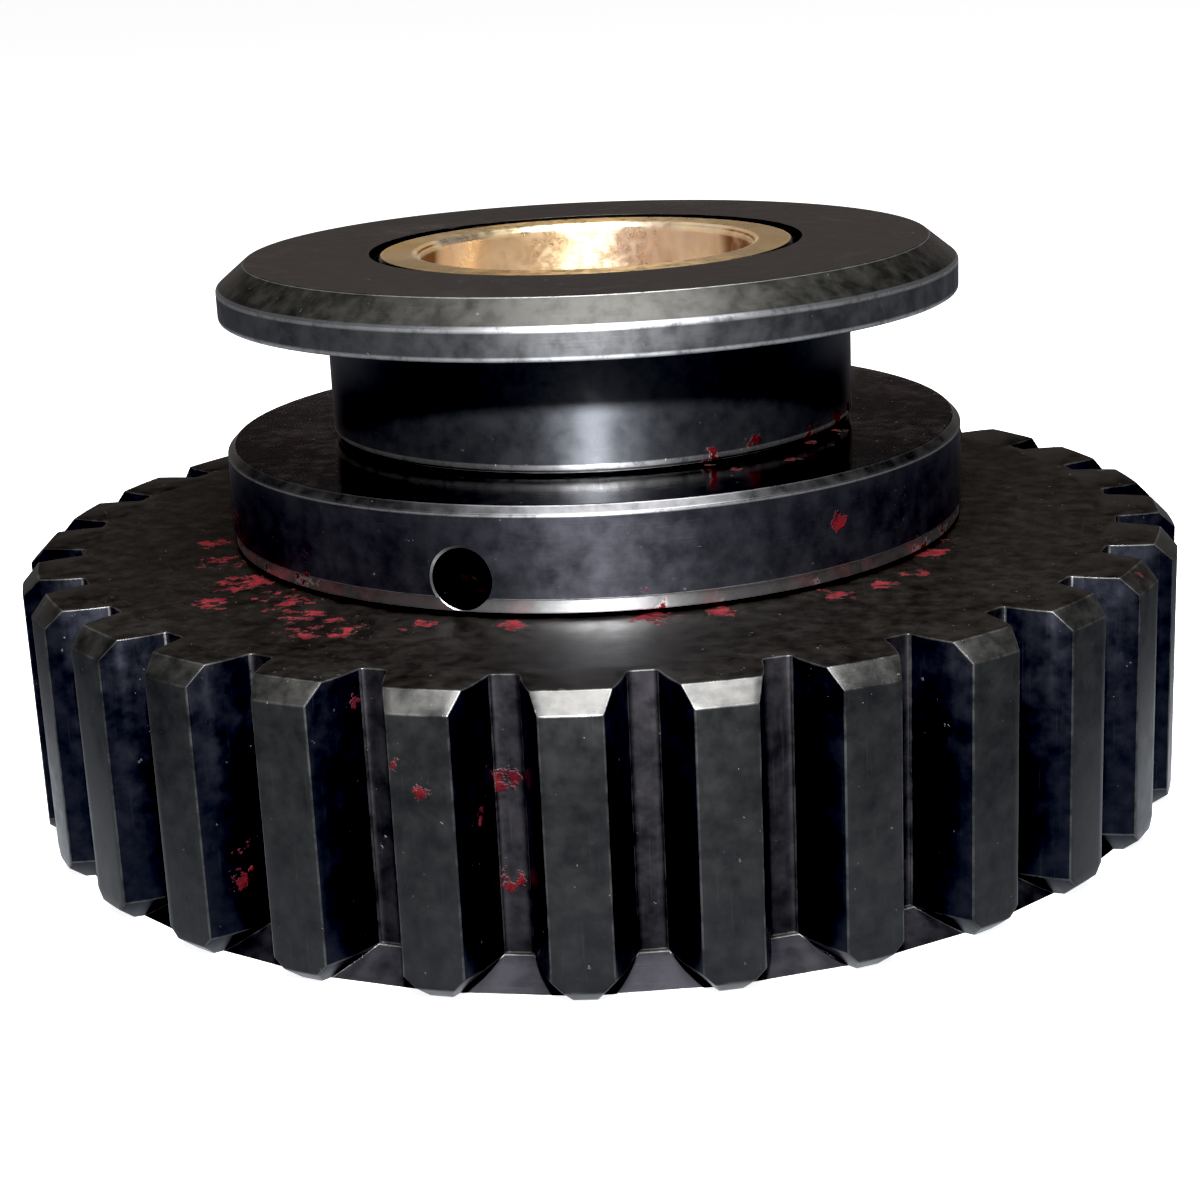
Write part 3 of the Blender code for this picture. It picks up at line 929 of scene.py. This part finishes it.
# --- sleeve with its flange ------------------------------------------------------
def make_sleeve():
    bevel_low = FLANGE_TOP - FLANGE_BEVEL_DROP
    corners = [
        (FLANGE_FACE_RADIUS, FLANGE_TOP, 0.10 * MM),
        (RIM_RADIUS, bevel_low, 0.22 * MM),
        (RIM_RADIUS, FLANGE_RIM_BOTTOM, 0.35 * MM),
        (NECK_RADIUS, FLANGE_RIM_BOTTOM, 0.9 * MM),
        (NECK_RADIUS, NECK_BOTTOM + NECK_CHAMFER, 0.40 * MM),
        (NECK_RADIUS - NECK_CHAMFER, NECK_BOTTOM, 0.1 * MM),
        (QUILL_RADIUS, NECK_BOTTOM, 0.0),
        (QUILL_RADIUS, RING_GROOVE_HIGH, 0.0),
        (RING_GROOVE_RADIUS, RING_GROOVE_HIGH, 0.0),
        (RING_GROOVE_RADIUS, RING_GROOVE_LOW, 0.0),
        (QUILL_RADIUS, RING_GROOVE_LOW, 0.1 * MM),
        (QUILL_RADIUS, SLEEVE_LOW.z, 0.3 * MM),
        (SLEEVE_BORE + BORE_CHAMFER, SLEEVE_LOW.z, 0.1 * MM),
        (SLEEVE_BORE, SLEEVE_LOW.z + BORE_CHAMFER, 0.1 * MM),
        (SLEEVE_BORE, BORE_RIB_LOW, 0.0),
        (BORE_RIB_RADIUS, BORE_RIB_LOW, 0.1 * MM),
        (BORE_RIB_RADIUS, BORE_RIB_HIGH, 0.1 * MM),
        (SLEEVE_BORE, BORE_RIB_HIGH, 0.0),
        (SLEEVE_BORE, FLANGE_TOP - BORE_CHAMFER, 0.0),
        (SLEEVE_BORE + BORE_CHAMFER, FLANGE_TOP, 0.06 * MM),
    ]
    body = black_steel(
        "sleeve_black_steel", "turned", rgb(0.046, 0.050, 0.058), rgb(0.092, 0.098, 0.110), 0.52,
        metal=0.9, aniso=0.9, bare=rgb(0.55, 0.56, 0.58), wear_and_glint=0.8, mottle=1.6,
    )
    rim = black_steel(
        "flange_rim_steel", "turned", rgb(0.050, 0.052, 0.056), rgb(0.100, 0.102, 0.107), 0.48,
        metal=0.9, aniso=0.6, bare=rgb(0.55, 0.56, 0.58), wear_and_glint=0.8,
    )
    bevel = black_steel(
        "flange_bevel_steel", "turned", rgb(0.016, 0.016, 0.014), rgb(0.042, 0.041, 0.038), 0.38,
        metal=0.8, bare=rgb(0.5, 0.5, 0.5), wear_and_glint=0.7,
    )
    face = black_steel(
        "flange_face_steel", "turned", rgb(0.034, 0.031, 0.030), rgb(0.066, 0.059, 0.056), 0.34,
        metal=0.92, bare=rgb(0.12, 0.12, 0.12), wear_and_glint=0.5, mottle=1.6,
    )
    # Near-black band at the top of the bore, round the bush's end: painted shade of the gap between
    # sleeve and bush.
    gap_shade = black_steel(
        "sleeve_bore_painted_shade", "turned", rgb(0.002, 0.002, 0.002), rgb(0.005, 0.004, 0.004), 0.7,
        metal=1.0, wear_and_glint=0.0,
    )
    face_low = FLANGE_TOP - 0.05 * MM
    spans = (
        # Slot 4: the painted shade band at the top of the bore.
        (face_low - BORE_CHAMFER, FLANGE_TOP - 0.02 * MM, 0.0, 4),
        (face_low, FLANGE_TOP + MM, 0.0, 1),
        (bevel_low + 0.25 * MM, face_low, FLANGE_FACE_RADIUS - MM, 2),
        (FLANGE_RIM_BOTTOM, bevel_low, RIM_RADIUS - 0.5 * MM, 3),
    )
    mesh = lathe_mesh("flanged_neck", rounded(corners), LARGE_SEGMENTS, spans)
    sleeve = add_object("flanged_neck", mesh, [body, face, bevel, rim, gap_shade])
    slot_low = (KEY_LOW.x - KEY_GAP, KEY_LOW.y - KEY_GAP, KEY_LOW.z - KEY_GAP)
    slot_high = (QUILL_RADIUS + 2.0 * MM, KEY_HIGH.y + KEY_GAP, KEY_HIGH.z + KEY_GAP)
    boolean(sleeve, box_mesh("keyseat", slot_low, slot_high))
    shade(sleeve.data)
    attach(sleeve, "gear_body")
    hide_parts("flanged_sleeve")


# --- collar and its screw --------------------------------------------------------
def make_collar():
    corners = [
        (COLLAR_RADIUS - COLLAR_TOP_CHAMFER, COLLAR_TOP, 0.10 * MM),
        (COLLAR_RADIUS, COLLAR_TOP - COLLAR_TOP_CHAMFER, 0.12 * MM),
        (COLLAR_RADIUS, COLLAR_FOOT_TOP, 0.06 * MM),
        (COLLAR_FOOT_RADIUS, COLLAR_FOOT_TOP - COLLAR_FOOT_LIP, 0.0),
        (COLLAR_FOOT_RADIUS, COLLAR_FOOT_BOTTOM, 0.15 * MM),
        (COLLAR_SEAT_RADIUS, COLLAR_FOOT_BOTTOM, 0.0),
        (COLLAR_SEAT_RADIUS, COLLAR_LOW.z, 0.0),
        (COLLAR_BORE, COLLAR_LOW.z, 0.0),
        (COLLAR_BORE, COLLAR_TOP, 0.1 * MM),
    ]
    body = black_steel(
        "collar_black_steel", "turned", rgb(0.024, 0.025, 0.031), rgb(0.054, 0.055, 0.067), 0.42,
        metal=0.85, aniso=0.6, bare=rgb(0.5, 0.51, 0.53), wear_and_glint=0.8, mottle=1.8,
    )
    foot = bare_steel(
        "collar_ground_foot", "turned", rgb(0.64, 0.65, 0.67), 0.33, aniso=0.8, stain=0.5,
    )
    top = black_steel(
        "collar_top_face", "turned", rgb(0.17, 0.165, 0.162), rgb(0.27, 0.255, 0.25), 0.12,
        metal=1.0, bare=rgb(0.3, 0.3, 0.3), wear_and_glint=0.6, mottle=1.5,
    )
    # Near-black thread with no pale edges: painted shade deep in the screw hole.
    thread = black_steel(
        "collar_thread_painted_shade", "turned", rgb(0.003, 0.003, 0.003), rgb(0.007, 0.006, 0.006), 0.60,
        metal=1.0, wear_and_glint=0.0,
    )
    chamfer = black_steel(
        "collar_chamfer_steel", "turned", rgb(0.022, 0.022, 0.024), rgb(0.064, 0.064, 0.066), 0.32,
        metal=0.9, bare=rgb(0.16, 0.16, 0.165), wear_and_glint=0.6,
    )
    top_low = COLLAR_TOP - 0.02 * MM
    chamfer_inner = COLLAR_RADIUS - COLLAR_TOP_CHAMFER - 0.1 * MM
    foot_inner = COLLAR_FOOT_RADIUS - 0.3 * MM
    spans = (
        (COLLAR_FOOT_BOTTOM - MM, COLLAR_FOOT_TOP - 0.05 * MM, foot_inner, 1),
        (top_low, COLLAR_TOP + MM, 0.0, 2),
        (COLLAR_TOP - COLLAR_TOP_CHAMFER, top_low, chamfer_inner, 3),
    )
    mesh = lathe_mesh("drilled_collar", rounded(corners), LARGE_SEGMENTS, spans)
    collar = add_object("drilled_collar", mesh, [body, foot, top, chamfer])
    reach = COLLAR_RADIUS - COLLAR_BORE + 8.0 * MM
    hole = threaded_rod_mesh("hole", HOLE_RADIUS - THREAD_DEPTH, THREAD_DEPTH, reach)
    hole.materials.append(thread)
    boolean(collar, hole, matrix=along_minus_y(COLLAR_BORE - 4.0 * MM))
    mouth_radius = HOLE_RADIUS - 0.20 * MM
    mouth_reach = 1.5 * MM
    mouth = rod_mesh("mouth", mouth_radius, mouth_radius + mouth_reach, mouth_reach, 64)
    mouth.materials.append(foot)
    boolean(collar, mouth, matrix=along_minus_y(COLLAR_RADIUS - HOLE_MOUTH_DEPTH))
    shade(collar.data)
    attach(collar, "gear_body")
    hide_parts("lock_collar")


def make_set_screw():
    # Very dark brown steel: its darkness is painted shade of the hole the screw sits in.
    steel = black_steel(
        "set_screw_steel_painted_shade", "turned", rgb(0.014, 0.008, 0.006), rgb(0.045, 0.024, 0.015), 0.40,
        metal=0.8, bare=rgb(0.1, 0.08, 0.06),
    )
    inner = -SCREW_HIGH.y
    core = (SCREW_HIGH.x - SCREW_LOW.x) / 2.0 - 0.3 * MM
    shank = -SCREW_LOW.y - inner - SCREW_POINT
    threaded = threaded_rod_mesh("set_screw", core, SCREW_THREAD_DEPTH, shank)
    screw = add_object("grub_screw", threaded, [steel])
    cone = rod_mesh("point", 1.4 * MM, core, SCREW_POINT + 0.05 * MM, 48, -SCREW_POINT)
    boolean(screw, cone, "UNION")
    socket = rod_mesh("socket", 1.6 * MM, 1.6 * MM, 4.0 * MM, 6, shank - 2.6 * MM)
    boolean(screw, socket)
    lead = rod_mesh("lead", 1.6 * MM, 2.0 * MM, 0.45 * MM, 48, shank - 0.4 * MM)
    boolean(screw, lead)
    screw.data.transform(along_minus_y(inner + SCREW_POINT))
    shade(screw.data)
    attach(screw, "gear_body")
    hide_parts("collar_set_screw")


# --- bushes, key and snap ring ---------------------------------------------------
def make_bush(name, node, body, low, high, seed):
    outer = 0.12 * MM
    inner = 0.25 * MM
    corners = [
        (BUSH_RADIUS - BUSH_CHAMFER, high, outer),
        (BUSH_RADIUS, high - BUSH_CHAMFER, outer),
        (BUSH_RADIUS, low + BUSH_CHAMFER, outer),
        (BUSH_RADIUS - BUSH_CHAMFER, low, outer),
        (BUSH_BORE + BUSH_CHAMFER, low, inner),
        (BUSH_BORE, low + BUSH_CHAMFER, inner),
        (BUSH_BORE, high - BUSH_CHAMFER, inner),
        (BUSH_BORE + BUSH_CHAMFER, high, inner),
    ]
    spans = ((high - 0.02 * MM, high + MM, 0.0, 1), (low - MM, low + 0.02 * MM, 0.0, 1))
    bore = bronze(
        name + "_bronze", seed, BORE_STAINS, 0.965, rgb(0.88, 0.72, 0.59), rgb(0.86, 0.68, 0.44),
    )
    ends = bronze(
        name + "_end_bronze", seed, END_STAINS, 0.91, rgb(0.60, 0.42, 0.23), rgb(0.58, 0.39, 0.17),
    )
    mesh = lathe_mesh(name, rounded(corners), SMALL_SEGMENTS, spans)
    bush = add_object(name, mesh, [bore, ends])
    shade(bush.data)
    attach(bush, body)
    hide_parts(node)


def make_key():
    steel = bare_steel("key_ground_steel", "axial", rgb(0.42, 0.41, 0.40), 0.33)
    key = add_object("shaft_key", box_mesh("shaft_key", KEY_LOW, KEY_HIGH), [steel])
    soften_edges(key, 0.4 * MM, 3)
    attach(key, "gear_body")
    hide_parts("drive_key")


def make_snap_ring():
    steel = black_steel(
        "snap_ring_steel", "turned", rgb(0.05, 0.05, 0.055), rgb(0.12, 0.12, 0.125), 0.32,
        metal=0.95, wear_and_glint=0.6,
    )
    low = RING_LOW.z
    high = RING_HIGH.z
    corners = [(RING_OUTER, high), (RING_OUTER, low), (RING_INNER, low), (RING_INNER, high)]
    points = rounded([(r, z, 0.15 * MM) for r, z in corners], 3)
    ring = add_object("snap_ring", lathe_mesh("snap_ring", points, SMALL_SEGMENTS), [steel])

    def beside_gap(side, extra_degrees, radius, z):
        """Matrix that moves a rod to one end of the ring, beside its gap."""
        past = RING_GAP_HALF_ANGLE + math.radians(extra_degrees)
        heading = -math.pi / 2.0 + side * past
        return Matrix.Translation((radius * math.cos(heading), radius * math.sin(heading), z))

    for side in (-1.0, 1.0):
        eye = rod_mesh("eye", RING_EYE_RADIUS, RING_EYE_RADIUS, high - low, 48)
        boolean(ring, eye, "UNION", beside_gap(side, 2.5, RING_OUTER - 0.3 * MM, low))
    half = (RING_INNER + RING_OUTER) / 2.0 * math.sin(RING_GAP_HALF_ANGLE)
    cut_low = (-half, -RING_OUTER - 4.0 * MM, low - MM)
    cut_high = (half, -RING_INNER * 0.8, high + MM)
    boolean(ring, box_mesh("gap", cut_low, cut_high))
    for side in (-1.0, 1.0):
        hole = rod_mesh("eye_hole", RING_EYE_HOLE, RING_EYE_HOLE, 6.0 * MM, 32)
        spot = beside_gap(side, 3.4, RING_OUTER - 0.2 * MM, low - 2.0 * MM)
        boolean(ring, hole, "DIFFERENCE", spot)
    shade(ring.data)
    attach(ring, "gear_body")
    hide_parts("retaining_ring")


# --- stage -----------------------------------------------------------------------
def make_floor():
    mesh = bpy.data.meshes.new("floor")
    bm = bmesh.new()
    bmesh.ops.create_grid(bm, x_segments=1, y_segments=1, size=6.0)
    bm.to_mesh(mesh)
    bm.free()
    material, _, shader = new_material("pale_floor")
    shader.inputs["Base Color"].default_value = rgb(0.90, 0.90, 0.90)
    shader.inputs["Roughness"].default_value = 0.9
    shader.inputs["Specular IOR Level"].default_value = 0.1
    shader.inputs["Emission Color"].default_value = rgb(1.0, 1.0, 1.0)
    shader.inputs["Emission Strength"].default_value = 0.93
    floor = add_object("floor", mesh, [material])
    floor.location.z = -0.02 * MM
    floor.visible_glossy = False
    floor.visible_diffuse = False


def make_world():
    """White studio. Reflections see a dim room with pale bands low down, fixed in the world."""
    world = bpy.data.worlds.new("studio")
    bpy.context.scene.world = world
    world.use_nodes = True
    nodes = Nodes(world.node_tree)
    direction = nodes.add("ShaderNodeTexCoord").outputs["Generated"]
    x, y, up = nodes.split(direction)
    rear = nodes.plus(
        nodes.times(x, -math.sin(CAMERA_AZIMUTH)), nodes.times(y, math.cos(CAMERA_AZIMUTH))
    )
    table = nodes.mix(
        nodes.range(rear, 0.10, 0.75), rgb(0.64, 0.67, 0.71), rgb(1.05, 1.10, 1.18)
    )
    level = nodes.mix(
        nodes.range(rear, 0.78, 0.96), rgb(0.045, 0.048, 0.058), rgb(0.17, 0.175, 0.19)
    )
    glossy = nodes.mix(nodes.range(up, -0.25, -0.36), level, table)
    bands = (
        (0.04, 0.10, rgb(0.42, 0.35, 0.32)),
        (0.132, 0.158, rgb(0.030, 0.029, 0.030)),
        (0.18, 0.32, rgb(0.032, 0.030, 0.030)),
    )
    for start, end, colour in bands:
        glossy = nodes.mix(nodes.range(up, start, end), glossy, colour)
    path = nodes.add("ShaderNodeLightPath")
    seen = nodes.mix(path.outputs["Is Glossy Ray"], rgb(0.05, 0.05, 0.055), glossy)
    seen = nodes.mix(path.outputs["Is Camera Ray"], seen, rgb(1.0, 1.0, 1.0))
    back = world.node_tree.nodes["Background"]
    nodes.link(seen, back.inputs["Color"])
    back.inputs["Strength"].default_value = 1.0


def add_light(name, azimuth, distance, height, size, power):
    """Disk light at this azimuth from -Y, aimed at the middle of the gear."""
    data = bpy.data.lights.new(name, "AREA")
    data.shape = "DISK"
    data.size = size
    data.energy = power
    lamp = bpy.data.objects.new(name, data)
    bpy.context.scene.collection.objects.link(lamp)
    place = Vector((distance * math.sin(azimuth), -distance * math.cos(azimuth), height))
    lamp.location = place
    toward = Vector((0.0, 0.0, 30.0 * MM)) - place
    lamp.rotation_euler = toward.to_track_quat("-Z", "Y").to_euler()


def make_lights():
    add_light("flash", CAMERA_AZIMUTH, 0.242, 0.176, 0.022, 1.8)
    add_light("overhead", math.radians(32.0), 0.14, 0.49, 0.36, 6.2)


def make_camera():
    data = bpy.data.cameras.new("camera")
    data.sensor_width = CAMERA_SENSOR
    data.lens = CAMERA_LENS
    data.clip_start = 0.01
    data.clip_end = 50.0
    camera = bpy.data.objects.new("camera", data)
    bpy.context.scene.collection.objects.link(camera)
    level = math.cos(CAMERA_TILT)
    forward = Vector(
        (math.sin(CAMERA_PAN) * level, math.cos(CAMERA_PAN) * level, math.sin(CAMERA_TILT))
    )
    right = forward.cross(Vector((0.0, 0.0, 1.0))).normalized()
    up = right.cross(forward)
    cam_x = right * math.cos(CAMERA_ROLL) + up * math.sin(CAMERA_ROLL)
    cam_y = up * math.cos(CAMERA_ROLL) - right * math.sin(CAMERA_ROLL)
    turn = Matrix((cam_x, cam_y, -forward)).transposed().to_4x4()
    place = Matrix.Translation((0.0, -CAMERA_DISTANCE, CAMERA_HEIGHT)) @ turn
    camera.matrix_world = Matrix.Rotation(CAMERA_AZIMUTH, 4, "Z") @ place
    bpy.context.scene.camera = camera


make_camera()
make_floor()
make_world()
make_lights()
make_wheel()
make_sleeve()
make_collar()
make_set_screw()
make_bush(
    "top_bush", "upper_bush", "upper_bush_body",
    TOP_BUSH_LOW.z, TOP_BUSH_HIGH.z, 0.35,
)
make_bush(
    "bottom_bush", "lower_bush", "lower_bush_body",
    LOW_BUSH_LOW.z, LOW_BUSH_HIGH.z, 1.9,
)
make_key()
make_snap_ring()

VIEW = bpy.context.scene.view_settings
VIEW.view_transform = "Standard"
VIEW.look = "None"
VIEW.use_curve_mapping = True
VIEW.curve_mapping.black_level = (0.0105, 0.0105, 0.0105)
VIEW.curve_mapping.update()
